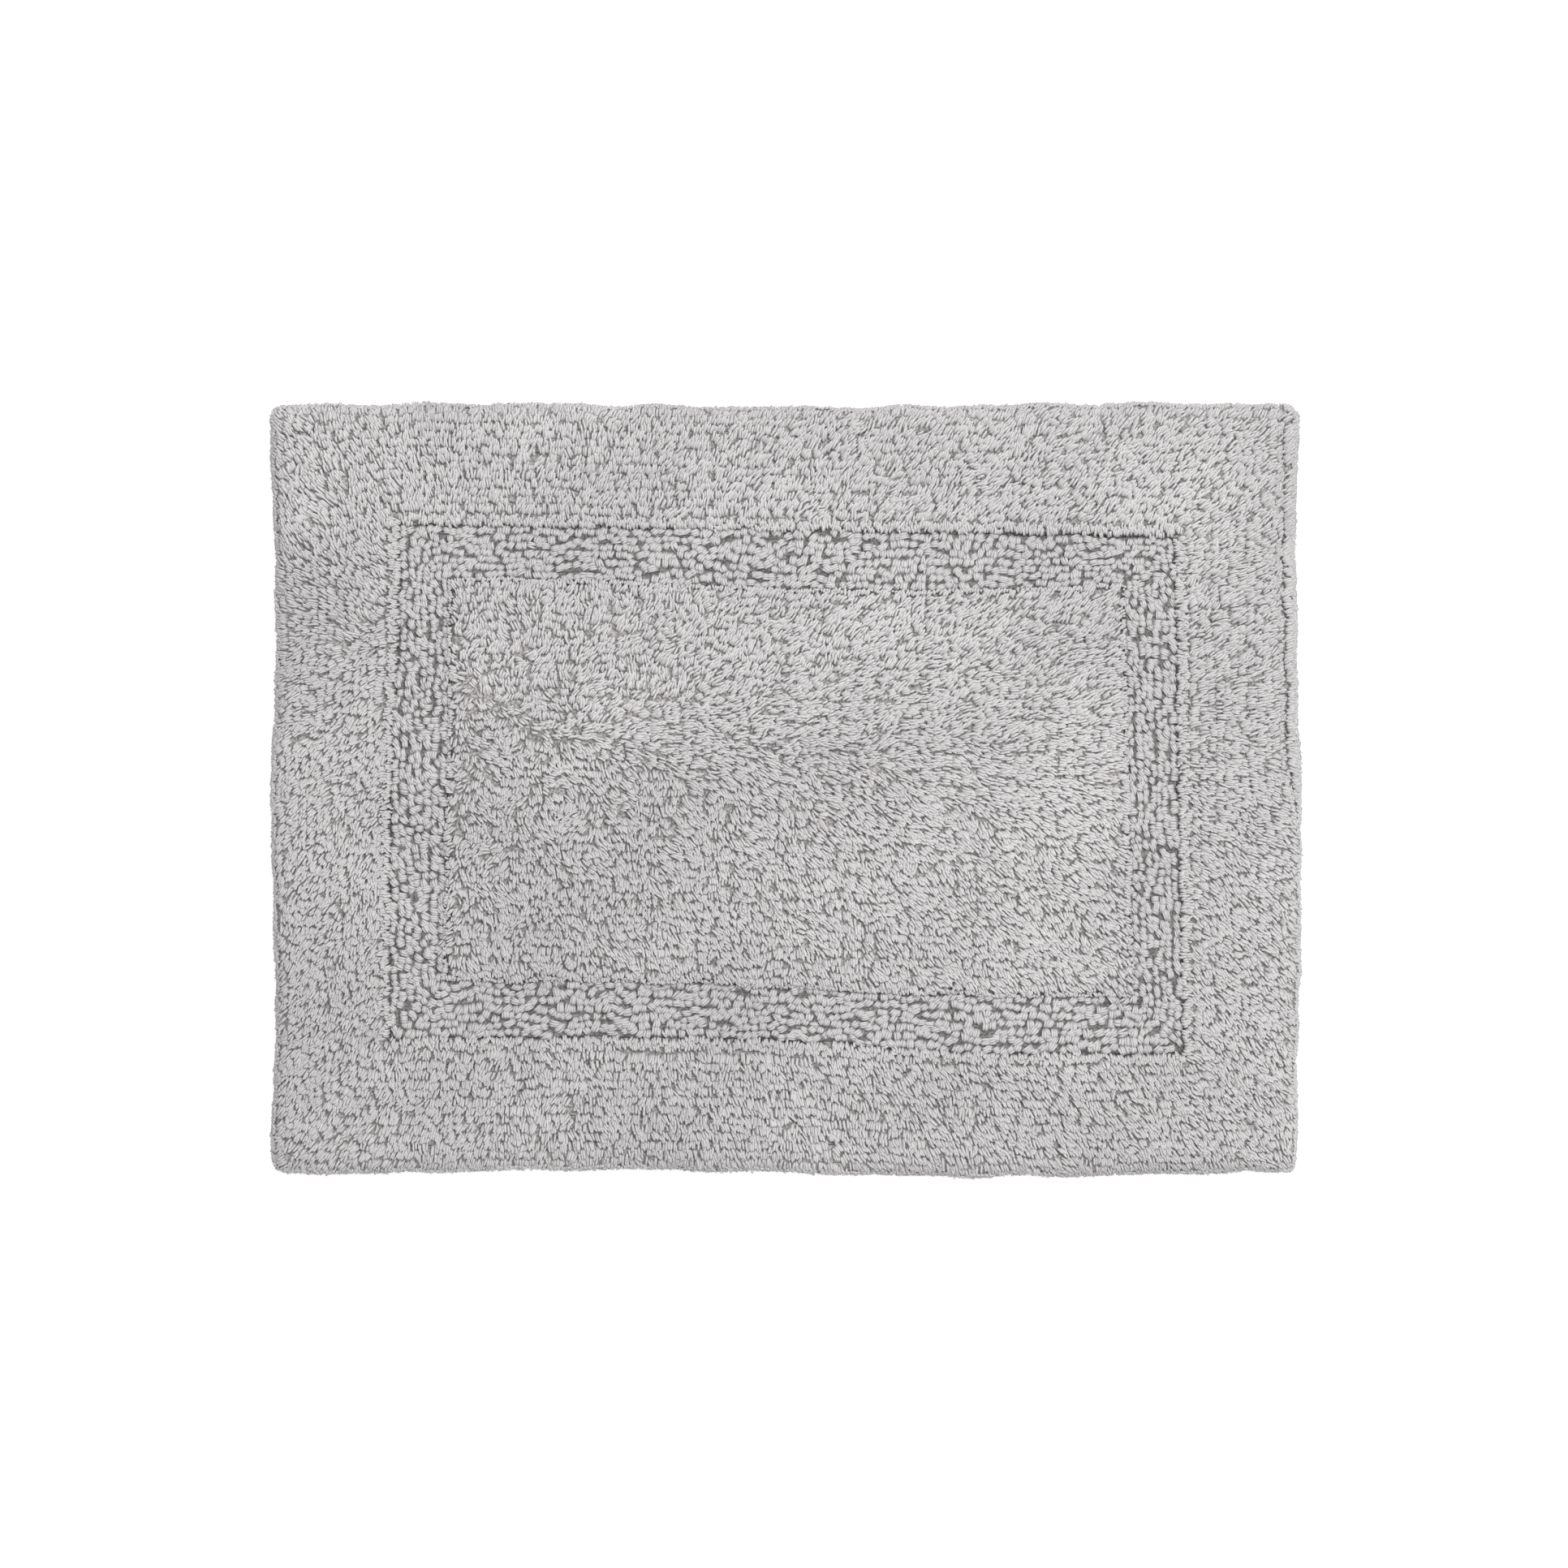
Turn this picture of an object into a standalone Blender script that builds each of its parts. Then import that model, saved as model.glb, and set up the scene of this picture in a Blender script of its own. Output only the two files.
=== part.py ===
"""Reversible tufted cotton bath mat, 610 x 457 mm over the pile.

A woven cotton base cloth with a turned and stitched hem carries pile on both sides. From the
edge inwards, each side has a border of cut pile, a recessed frame of seven loop-pile rows and a
centre field of cut pile. The border and the frame are tufted round the mat, so their rows are
closed rectangles, and the centre is tufted lengthwise, so its rows are straight.

Metres. +X runs along the mat, +Y across it and +Z up, with the origin under the mat's centre.
"""

import math

import bmesh
import bpy

# Outline over the pile
MAT_LENGTH = 0.610
MAT_WIDTH = 0.457
OUTER_CORNER_RADIUS = 0.012
CORNER_SEGMENTS = 4

# Heights
REVERSE_PILE_HEIGHT = 0.0090
CLOTH_THICKNESS = 0.0012
FACE_PILE_HEIGHT = 0.0112
LOOP_RECESS = 0.0028

# Tufting rows
ROW_PITCH = 0.0048
ROWS_IN_A_BORDER_BAND = 3
BORDER_BANDS = 5
LOOP_ROW_PITCH = 0.0050
LOOP_ROWS = 7
CENTRE_PANELS = 5

# Base cloth, hem and stitching
CLOTH_INSET = 0.0030
HEM_WIDTH = 0.0150
THREAD_DIAMETER = 0.0005
STITCH_CHANNEL = 0.0014

# Free space between neighbouring solids, and the rounding of the pile's edges
GAP = 0.0003
CUT_PILE_ROUNDING = 0.0010
LOOP_ROUNDING = 0.0018
ROUNDING_STEPS = 1

# Levels and insets that follow from the sizes above
CLOTH_LOW = REVERSE_PILE_HEIGHT + GAP
CLOTH_HIGH = CLOTH_LOW + CLOTH_THICKNESS
HEM_LOW = CLOTH_LOW - CLOTH_THICKNESS
FACE_LOW = CLOTH_HIGH + GAP
FACE_HIGH = FACE_LOW + FACE_PILE_HEIGHT
BORDER_BAND_WIDTH = ROWS_IN_A_BORDER_BAND * ROW_PITCH
BORDER_WIDTH = BORDER_BANDS * BORDER_BAND_WIDTH
CENTRE_INSET = BORDER_WIDTH + LOOP_ROWS * LOOP_ROW_PITCH
HEM_INNER_INSET = CLOTH_INSET + HEM_WIDTH

# Finishes: name, colour and roughness
COTTON_CUT_PILE = ("cotton_cut_pile", (0.48, 0.47, 0.465, 1.0), 0.95)
COTTON_LOOP_PILE = ("cotton_loop_pile", (0.42, 0.41, 0.405, 1.0), 0.95)
COTTON_CANVAS = ("cotton_canvas", (0.56, 0.54, 0.51, 1.0), 0.90)
SEWING_THREAD = ("sewing_thread", (0.55, 0.54, 0.53, 1.0), 0.70)


def material(finish):
    """The Principled material of one finish, made the first time it is asked for."""
    name, colour, roughness = finish
    made = bpy.data.materials.get(name)
    if made is None:
        made = bpy.data.materials.new(name)
        made.use_nodes = True
        shader = made.node_tree.nodes["Principled BSDF"]
        shader.inputs["Base Color"].default_value = colour
        shader.inputs["Roughness"].default_value = roughness
        shader.inputs["Metallic"].default_value = 0.0
    return made


def add_part(name, data, finish, height=0.0):
    """Puts one sub-part in the mat's collection, in its finish and at its height."""
    data.materials.append(material(finish))
    part = bpy.data.objects.new(name, data)
    part.location.z = height
    mat_collection.objects.link(part)
    return part


def outline(inset):
    """The mat's outline moved inwards: a rectangle with quarter-circle corners as long as some
    of the outer corner radius is left, and with square corners further in."""
    radius = max(OUTER_CORNER_RADIUS - inset, 0.0)
    centre_x = MAT_LENGTH / 2 - inset - radius
    centre_y = MAT_WIDTH / 2 - inset - radius
    steps = CORNER_SEGMENTS if radius > 0 else 0
    points = []
    for quarter, (side_x, side_y) in enumerate([(1, 1), (-1, 1), (-1, -1), (1, -1)]):
        for step in range(steps + 1):
            share = step / steps if steps else 0.5
            angle = math.radians(90 * (quarter + share))
            x = side_x * centre_x + radius * math.cos(angle)
            y = side_y * centre_y + radius * math.sin(angle)
            points.append((x, y))
    return points


def rectangle(low_x, high_x, low_y, high_y):
    """The four corners of a rectangle."""
    return [(high_x, high_y), (low_x, high_y), (low_x, low_y), (high_x, low_y)]


def add_closed_run(curve, points):
    """Adds straight lines through flat points to a curve, closed on themselves."""
    run = curve.splines.new("POLY")
    run.points.add(len(points) - 1)
    for target, (x, y) in zip(run.points, points):
        target.co = (x, y, 0.0, 1.0)
    run.use_cyclic_u = True


def pile(name, outlines, low, high, rounding, finish):
    """A flat piece of pile: the area between its outlines, from one level up to another, with
    its edges rounded over."""
    curve = bpy.data.curves.new(name, "CURVE")
    curve.dimensions = "2D"
    curve.fill_mode = "BOTH"
    curve.extrude = (high - low) / 2 - rounding
    curve.bevel_depth = rounding
    curve.bevel_resolution = ROUNDING_STEPS
    curve.offset = -rounding
    for points in outlines:
        add_closed_run(curve, points)
    return add_part(name, curve, finish, height=(low + high) / 2)


def border_edges(band):
    """Insets of a border band's outer and inner edge. The hem's stitching runs between the
    first and the second band, so the channel there is wider than the gap elsewhere."""
    outer = (band - 1) * BORDER_BAND_WIDTH
    inner = band * BORDER_BAND_WIDTH
    if band == 1:
        return outer, inner - STITCH_CHANNEL / 2
    if band == 2:
        return outer + STITCH_CHANNEL / 2, inner - GAP / 2
    return outer + GAP / 2, inner - GAP / 2


def border_pile(side, low, high, level_under_hem):
    """Border of one side: bands of three cut-pile rows each, counted from the edge."""
    for band in range(1, BORDER_BANDS + 1):
        outer, inner = border_edges(band)
        top = level_under_hem if outer < HEM_INNER_INSET else high
        edges = [outline(outer), outline(inner)]
        pile(f"{side}_border_pile_{band}", edges, low, top, CUT_PILE_ROUNDING, COTTON_CUT_PILE)


def loop_rows(side, low, high):
    """Recessed frame of one side: loop-pile rows, counted from the border inwards."""
    for row in range(1, LOOP_ROWS + 1):
        outer = BORDER_WIDTH + (row - 1) * LOOP_ROW_PITCH + GAP / 2
        inner = BORDER_WIDTH + row * LOOP_ROW_PITCH - GAP / 2
        edges = [outline(outer), outline(inner)]
        pile(f"{side}_loop_row_{row}", edges, low, high, LOOP_ROUNDING, COTTON_LOOP_PILE)


def centre_pile(side, low, high):
    """Centre field of one side: equal panels of lengthwise cut-pile rows, counted from +Y."""
    half_x = MAT_LENGTH / 2 - CENTRE_INSET - GAP / 2
    field_y = MAT_WIDTH / 2 - CENTRE_INSET
    panel_width = 2 * field_y / CENTRE_PANELS
    for panel in range(1, CENTRE_PANELS + 1):
        top = field_y - (panel - 1) * panel_width - GAP / 2
        bottom = field_y - panel * panel_width + GAP / 2
        edges = [rectangle(-half_x, half_x, bottom, top)]
        pile(f"{side}_centre_pile_{panel}", edges, low, high, CUT_PILE_ROUNDING, COTTON_CUT_PILE)


def base_cloth():
    """Canvas that all the pile is tufted through. Its edge is turned under once, so the cloth
    is two layers thick along the hem."""
    cloth = bmesh.new()
    bmesh.ops.create_cube(cloth, size=1.0)
    length = MAT_LENGTH - 2 * CLOTH_INSET
    width = MAT_WIDTH - 2 * CLOTH_INSET
    bmesh.ops.scale(cloth, vec=(length, width, CLOTH_THICKNESS), verts=cloth.verts)
    bmesh.ops.translate(cloth, vec=(0, 0, (CLOTH_LOW + CLOTH_HIGH) / 2), verts=cloth.verts)
    cloth.normal_update()
    underside = [face for face in cloth.faces if face.normal.z < -0.5]
    rim = bmesh.ops.inset_region(cloth, faces=underside, thickness=HEM_WIDTH)["faces"]
    turned = bmesh.ops.extrude_face_region(cloth, geom=rim)["geom"]
    corners = [item for item in turned if isinstance(item, bmesh.types.BMVert)]
    bmesh.ops.translate(cloth, vec=(0, 0, HEM_LOW - CLOTH_LOW), verts=corners)
    bmesh.ops.delete(cloth, geom=rim, context="FACES")
    bmesh.ops.recalc_face_normals(cloth, faces=cloth.faces)
    mesh = bpy.data.meshes.new("base_cloth")
    cloth.to_mesh(mesh)
    cloth.free()
    return add_part("base_cloth", mesh, COTTON_CANVAS)


def hem_thread(name, height):
    """One thread of the hem's lockstitch, lying along the stitch line all round the mat."""
    curve = bpy.data.curves.new(name, "CURVE")
    curve.dimensions = "3D"
    curve.bevel_depth = THREAD_DIAMETER / 2
    curve.bevel_resolution = 1
    add_closed_run(curve, outline(BORDER_BAND_WIDTH))
    return add_part(name, curve, SEWING_THREAD, height)


for leftover in list(bpy.data.objects):
    bpy.data.objects.remove(leftover, do_unlink=True)

mat_collection = bpy.data.collections.new("bath_mat")
bpy.context.scene.collection.children.link(mat_collection)

base_cloth()
hem_thread("hem_needle_thread", CLOTH_HIGH + GAP + THREAD_DIAMETER / 2)
hem_thread("hem_bobbin_thread", HEM_LOW - GAP - THREAD_DIAMETER / 2)

border_pile("face", FACE_LOW, FACE_HIGH, level_under_hem=FACE_HIGH)
loop_rows("face", FACE_LOW, FACE_HIGH - LOOP_RECESS)
centre_pile("face", FACE_LOW, FACE_HIGH)

border_pile("reverse", 0.0, REVERSE_PILE_HEIGHT, level_under_hem=HEM_LOW - GAP)
loop_rows("reverse", LOOP_RECESS, REVERSE_PILE_HEIGHT)
centre_pile("reverse", 0.0, REVERSE_PILE_HEIGHT)
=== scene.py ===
import bpy
import numpy as np
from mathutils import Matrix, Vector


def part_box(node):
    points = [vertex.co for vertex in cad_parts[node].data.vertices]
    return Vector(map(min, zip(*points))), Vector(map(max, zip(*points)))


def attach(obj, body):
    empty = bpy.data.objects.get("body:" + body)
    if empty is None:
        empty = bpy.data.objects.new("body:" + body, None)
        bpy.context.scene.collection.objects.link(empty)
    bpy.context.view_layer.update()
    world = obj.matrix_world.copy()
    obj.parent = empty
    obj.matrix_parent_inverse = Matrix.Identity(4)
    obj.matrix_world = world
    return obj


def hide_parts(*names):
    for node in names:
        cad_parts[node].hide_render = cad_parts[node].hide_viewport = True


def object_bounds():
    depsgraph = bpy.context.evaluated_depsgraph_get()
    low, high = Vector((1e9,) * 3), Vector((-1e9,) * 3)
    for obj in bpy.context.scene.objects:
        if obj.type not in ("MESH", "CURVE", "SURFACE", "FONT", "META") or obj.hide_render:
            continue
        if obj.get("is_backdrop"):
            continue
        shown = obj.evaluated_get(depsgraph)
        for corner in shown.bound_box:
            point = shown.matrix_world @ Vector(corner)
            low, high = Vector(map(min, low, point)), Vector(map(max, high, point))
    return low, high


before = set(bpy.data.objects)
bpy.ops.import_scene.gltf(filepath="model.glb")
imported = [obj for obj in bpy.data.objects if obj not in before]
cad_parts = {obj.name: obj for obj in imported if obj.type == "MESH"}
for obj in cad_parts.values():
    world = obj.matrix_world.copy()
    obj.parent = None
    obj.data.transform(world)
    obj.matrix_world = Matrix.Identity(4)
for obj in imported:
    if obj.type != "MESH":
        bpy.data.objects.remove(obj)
frame_low, frame_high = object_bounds()

MM = 0.001

# ---------------------------------------------------------------------------------------------
# Camera. It hangs straight above the mat with a long lens, so that the sides stay out of sight
# and the mat fills about two thirds of the picture's width.
# ---------------------------------------------------------------------------------------------
CAMERA_DISTANCE = 2.594
CAMERA_OFFSET_X = -1.2 * MM
CAMERA_OFFSET_Y = 2.7 * MM
CAMERA_LENS = 100
CAMERA_SENSOR = 36

overhead = bpy.data.objects.new("overhead_camera", bpy.data.cameras.new("overhead_camera"))
overhead.data.lens = CAMERA_LENS
overhead.data.sensor_width = CAMERA_SENSOR
overhead.location = (CAMERA_OFFSET_X, CAMERA_OFFSET_Y, frame_high.z + CAMERA_DISTANCE)
bpy.context.scene.collection.objects.link(overhead)
bpy.context.scene.camera = overhead

# ---------------------------------------------------------------------------------------------
# Base cloth. One piece of plain-woven cotton canvas that every tuft goes through. Its corners
# are notched and a hem of 15 mm is turned under, so the cloth is double along its edge.
# ---------------------------------------------------------------------------------------------
CLOTH_THICKNESS = 1.0 * MM
HEM = 15 * MM
FOLD_RADIUS = CLOTH_THICKNESS / 2 + 0.1 * MM
FOLD_STEPS = 4
CLOTH_CELL = 9 * MM
WEAVE_PITCH = 1.1 * MM
# A wave texture runs through 20 radians in a metre at scale 1. This is one wave in two threads.
WEAVE_SCALE = 3.14 / (20 * WEAVE_PITCH)
CANVAS_SHADE = (0.44, 0.42, 0.385, 1)
CANVAS_COLOUR = (0.66, 0.64, 0.60, 1)

half_length = (frame_high.x - frame_low.x) / 2
half_width = (frame_high.y - frame_low.y) / 2
cloth_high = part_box("base_cloth")[1]
frame_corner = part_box("face_loop_row_1")[1]
field_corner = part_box("face_centre_pile_1")[1]


def waves(x, y, length, seed):
    """Slow, smooth ups and downs between about -1 and 1: a third of the sum of seven sine waves
    of about that wave length that cross each other at random."""
    random = np.random.default_rng(seed)
    total = 0
    for _ in range(7):
        turn = random.uniform(0, 2 * np.pi)
        step = 2 * np.pi / (length * random.uniform(0.7, 1.4))
        total = total + np.sin(step * (np.cos(turn) * x + np.sin(turn) * y) + random.uniform(0, 6.28))
    return total / 3


def between_lines(position, lines, shifts):
    """Shift at each position. It changes evenly from each line's own shift to the next line's."""
    total = shifts[0]
    for line in range(len(lines) - 1):
        share = (position - lines[line]) / (lines[line + 1] - lines[line])
        total = total + np.clip(share, 0, 1) * (shifts[line + 1] - shifts[line])
    return total


def as_it_lies(x, y):
    """Where points of the straight pattern come to lie. Tufting and washing have pulled the
    mat's edges and the two edges of the loop frame a few millimetres out of true: each line has
    a shift that is a straight slope, a slow wave or a step along it, and the cloth between two
    lines shifts evenly from one to the other."""
    across = [-half_length, -frame_corner.x, -field_corner.x,
              field_corner.x, frame_corner.x, half_length]
    shift_x = between_lines(x, across, [
        (-1.0 + 1.3 * np.cos(2 * np.pi * (y - 0.095) / 0.230)) * MM,
        (0.2 + 3.2 * np.tanh((y - 0.045) / 0.040)) * MM,
        -4.6 * MM + 0.012 * y,
        6.4 * MM - 0.0235 * y,
        0.5 * MM - 0.0165 * y,
        (1.2 + 1.4 * np.cos(2 * np.pi * (y + 0.040) / 0.370)) * MM,
    ])
    up = [-half_width, -frame_corner.y, -field_corner.y,
          field_corner.y, frame_corner.y, half_width]
    shift_y = between_lines(y, up, [
        (-0.9 + 1.6 * np.cos(2 * np.pi * (x + 0.085) / 0.400)) * MM - 0.004 * x,
        (3.4 - 4.8 * np.tanh((x - 0.045) / 0.060)) * MM,
        (2.2 - 4.6 * np.tanh((x - 0.005) / 0.080)) * MM,
        (0.2 - 3.9 * np.cos(2 * np.pi * (x - 0.070) / 0.500)) * MM,
        -3.2 * MM - 0.0163 * x,
        (0.4 + 0.9 * np.cos(2 * np.pi * (x - 0.215) / 0.400)) * MM,
    ])
    shift_x = shift_x + 0.65 * MM * waves(x, y, 0.036, 1)
    shift_y = shift_y + 0.65 * MM * waves(x, y, 0.036, 2)
    return x + shift_x, y + shift_y


def grid_quads(rows, columns, first=0):
    """Corner numbers of the quads of a grid of points that is numbered row by row."""
    corner = first + np.arange(rows - 1)[:, None] * columns + np.arange(columns - 1)[None, :]
    return np.stack([corner, corner + 1, corner + columns + 1, corner + columns], -1).reshape(-1, 4)


def mesh_of(name, points, quads, triangles=None):
    """A smooth-shaded mesh from arrays of points and of the corner numbers of its faces."""
    triangles = np.zeros((0, 3), int) if triangles is None else triangles
    mesh = bpy.data.meshes.new(name)
    mesh.vertices.add(len(points))
    mesh.vertices.foreach_set("co", np.asarray(points, np.float32).ravel())
    corners = np.concatenate([quads.ravel(), triangles.ravel()]).astype(np.int32)
    mesh.loops.add(len(corners))
    mesh.loops.foreach_set("vertex_index", corners)
    starts = np.concatenate([np.arange(len(quads)) * 4,
                             len(quads) * 4 + np.arange(len(triangles)) * 3]).astype(np.int32)
    mesh.polygons.add(len(starts))
    mesh.polygons.foreach_set("loop_start", starts)
    mesh.update(calc_edges=True)
    mesh.shade_smooth()
    return mesh


def place(name, mesh, material, node):
    """Puts a finished mesh in the scene in place of its CAD node."""
    mesh.materials.append(material)
    piece = bpy.data.objects.new(name, mesh)
    bpy.context.scene.collection.objects.link(piece)
    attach(piece, "root")
    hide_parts(node)
    return piece


def turned_under(flat, fold):
    """Bends a flat distance from the centre line round the hem's fold. Up to the fold the cloth
    runs on, then it goes round a half circle and back towards the centre one layer lower.
    Returns the distance from the centre line, the drop and the length that runs back."""
    past = np.clip(np.abs(flat) - (fold - FOLD_RADIUS), 0, None)
    turn = np.clip(past / FOLD_RADIUS, 0, np.pi)
    out = np.minimum(np.abs(flat), fold - FOLD_RADIUS) + FOLD_RADIUS * np.sin(turn)
    back = np.clip(past - np.pi * FOLD_RADIUS, 0, None)
    return np.sign(flat) * (out - back), FOLD_RADIUS * (1 - np.cos(turn)), back


def cloth_lines(fold):
    """Flat distances from the centre line at which the cloth has a line of points: even cells
    over the middle, close steps round the fold and two lines on the hem. Returns them with the
    number of lines past the start of each fold."""
    middle = np.linspace(0, fold - FOLD_RADIUS, round(fold / CLOTH_CELL) + 1)
    round_fold = fold - FOLD_RADIUS + FOLD_RADIUS * np.pi * np.arange(1, FOLD_STEPS + 1) / FOLD_STEPS
    hem = round_fold[-1] + np.array([0.5, 1.0]) * HEM
    half = np.concatenate([middle, round_fold, hem])
    return np.concatenate([-half[:0:-1], half]), len(round_fold) + len(hem)


def canvas_sheet():
    """Surface over two parameters, the flat cut's length and width. Each is bent round its own
    fold, the corner squares are left out, and the hems narrow towards their raw edges so that
    neighbours meet in a mitre."""
    lines_x, turned = cloth_lines(cloth_high.x)
    lines_y, _ = cloth_lines(cloth_high.y)
    flat_x, flat_y = np.meshgrid(lines_x, lines_y)
    x, drop_x, back_x = turned_under(flat_x, cloth_high.x)
    y, drop_y, back_y = turned_under(flat_y, cloth_high.y)
    x = x * (1 - back_y / cloth_high.x)
    y = y * (1 - back_x / cloth_high.y)
    x, y = as_it_lies(x, y)
    z = cloth_high.z - CLOTH_THICKNESS / 2 - drop_x - drop_y
    rows, columns = flat_x.shape
    quads = grid_quads(rows, columns).reshape(rows - 1, columns - 1, 4)
    kept = np.ones((rows - 1, columns - 1), bool)
    for end_y in (slice(0, turned), slice(-turned, None)):
        for end_x in (slice(0, turned), slice(-turned, None)):
            kept[end_y, end_x] = False
    quads = quads[kept]
    used = np.unique(quads)
    number = np.zeros(rows * columns, int)
    number[used] = np.arange(len(used))
    points = np.stack([x, y, z], -1).reshape(-1, 3)[used]
    return mesh_of("canvas_sheet", points, number[quads])


def new_material(name, roughness):
    """A material with its own Principled shader, and that shader."""
    material = bpy.data.materials.new(name)
    material.use_nodes = True
    shader = material.node_tree.nodes["Principled BSDF"]
    shader.inputs["Roughness"].default_value = roughness
    return material, shader


def feed(tree, socket, given):
    """Gives a socket a plain value, or the output of another node."""
    if isinstance(given, bpy.types.NodeSocket):
        tree.links.new(given, socket)
    else:
        socket.default_value = given


def noise_over(tree, coordinates, scale, detail):
    """Noise over the given coordinates, as a value from 0 to 1."""
    noise = tree.nodes.new("ShaderNodeTexNoise")
    feed(tree, noise.inputs["Vector"], coordinates)
    feed(tree, noise.inputs["Scale"], scale)
    feed(tree, noise.inputs["Detail"], detail)
    return noise.outputs["Fac"]


def worked_out(tree, operation, *values):
    """The result of a Math node on plain values and on other nodes' outputs."""
    step = tree.nodes.new("ShaderNodeMath")
    step.operation = operation
    for socket, value in zip(step.inputs, values):
        feed(tree, socket, value)
    return step.outputs[0]


def mixed(tree, share, first, second):
    """The first colour where share is 0, going over to the second where it is 1."""
    mix = tree.nodes.new("ShaderNodeMix")
    mix.data_type = "RGBA"
    feed(tree, mix.inputs["Factor"], share)
    feed(tree, mix.inputs["A"], first)
    feed(tree, mix.inputs["B"], second)
    return mix.outputs["Result"]


def add_bump(tree, shader, height, strength, distance):
    """Bends the light on a shader's surface as if it were raised by the given height."""
    bump = tree.nodes.new("ShaderNodeBump")
    feed(tree, bump.inputs["Height"], height)
    feed(tree, bump.inputs["Strength"], strength)
    feed(tree, bump.inputs["Distance"], distance)
    feed(tree, shader.inputs["Normal"], bump.outputs["Normal"])


def canvas_finish():
    """Unbleached cotton canvas. Two crossed wave patterns make the plain weave, and a slow
    noise makes its yarns lighter and darker in places."""
    material, shader = new_material("cotton_canvas_weave", 0.9)
    tree = material.node_tree
    on_cloth = tree.nodes.new("ShaderNodeTexCoord").outputs["Object"]
    threads = []
    for direction in ("X", "Y"):
        wave = tree.nodes.new("ShaderNodeTexWave")
        wave.bands_direction = direction
        feed(tree, wave.inputs["Vector"], on_cloth)
        feed(tree, wave.inputs["Scale"], WEAVE_SCALE)
        feed(tree, wave.inputs["Distortion"], 0.6)
        threads.append(wave.outputs["Fac"])
    weave = worked_out(tree, "MULTIPLY", *threads)
    slubs = noise_over(tree, on_cloth, 90, 2)
    share = worked_out(tree, "MULTIPLY_ADD", weave, 0.5, slubs)
    feed(tree, shader.inputs["Base Color"], mixed(tree, share, CANVAS_SHADE, CANVAS_COLOUR))
    add_bump(tree, shader, weave, 0.5, 0.3 * MM)
    return material


canvas = place("canvas_with_hem", canvas_sheet(), canvas_finish(), "base_cloth")
wall = canvas.modifiers.new("cloth_thickness", "SOLIDIFY")
wall.thickness = CLOTH_THICKNESS
wall.offset = 0

# ---------------------------------------------------------------------------------------------
# Hem threads. The hem is held by a lockstitch of two spun polyester threads: the needle thread
# on the face of the cloth and the bobbin thread under the hem, which lock inside the cloth.
# ---------------------------------------------------------------------------------------------
STITCH_LENGTH = 4 * MM
POINTS_IN_A_STITCH = 4
THREAD_SIDES = 5
STITCH_DIP = 0.18 * MM
THREAD_SHADE = (0.45, 0.44, 0.43, 1)
THREAD_COLOUR = (0.66, 0.65, 0.63, 1)


def round_the_mat(inset, steps):
    """Points round a rectangle that lies inset in from the mat's edge, anticlockwise from its
    upper right corner. Each side has its own number of even steps. Inset may be an array, and
    then each point has one place for each inset."""
    inset = np.atleast_1d(inset)
    reach_x = half_length - inset
    reach_y = half_width - inset
    sweep_x = 1 - 2 * np.arange(steps[0]) / steps[0]
    sweep_y = 1 - 2 * np.arange(steps[1]) / steps[1]
    across = np.ones(steps[0])
    upward = np.ones(steps[1])
    x = np.concatenate([sweep_x, -upward, -sweep_x, upward])
    y = np.concatenate([across, sweep_y, -across, -sweep_y])
    return x[:, None] * reach_x, y[:, None] * reach_y


def stitched_thread(name, node, dip):
    """A circle of the thread's radius carried round the stitch line. The centre line goes up
    and down once in each stitch."""
    low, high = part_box(node)
    radius = (high.z - low.z) / 2
    inset = half_length - high.x + radius
    steps = [round(2 * (half - inset) / STITCH_LENGTH) * POINTS_IN_A_STITCH
             for half in (half_length, half_width)]
    x, y = round_the_mat(inset, steps)
    x, y = as_it_lies(x[:, 0], y[:, 0])
    count = len(x)
    phase = 2 * np.pi * np.arange(count) / POINTS_IN_A_STITCH
    z = (low.z + high.z) / 2 + dip * (1 + np.cos(phase)) / 2
    forward_x = np.roll(x, -1) - np.roll(x, 1)
    forward_y = np.roll(y, -1) - np.roll(y, 1)
    size = np.hypot(forward_x, forward_y)
    turn = 2 * np.pi * np.arange(THREAD_SIDES) / THREAD_SIDES
    out = radius * np.cos(turn)[None, :]
    points = np.stack([x[:, None] + (forward_y / size)[:, None] * out,
                       y[:, None] - (forward_x / size)[:, None] * out,
                       z[:, None] + radius * np.sin(turn)[None, :]], -1)
    closed = np.concatenate([points, points[:1]])
    closed = np.concatenate([closed, closed[:, :1]], 1)
    quads = grid_quads(*closed.shape[:2])
    row, column = np.divmod(quads, THREAD_SIDES + 1)
    quads = (row % count) * THREAD_SIDES + column % THREAD_SIDES
    return mesh_of(name, points.reshape(-1, 3), quads[:, ::-1])


def thread_finish():
    """Spun sewing thread: pale, slightly glossy, with a fine noise for the fibres."""
    material, shader = new_material("spun_sewing_thread", 0.7)
    tree = material.node_tree
    on_thread = tree.nodes.new("ShaderNodeTexCoord").outputs["Object"]
    fibres = noise_over(tree, on_thread, 2500, 2)
    feed(tree, shader.inputs["Base Color"], mixed(tree, fibres, THREAD_SHADE, THREAD_COLOUR))
    add_bump(tree, shader, fibres, 0.4, 0.1 * MM)
    return material


sewing_thread = thread_finish()
for name, node, dip in [("needle_thread", "hem_needle_thread", -STITCH_DIP),
                        ("bobbin_thread", "hem_bobbin_thread", STITCH_DIP)]:
    mesh = stitched_thread(name, node, dip)
    place(name, mesh, sewing_thread, node)

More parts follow.
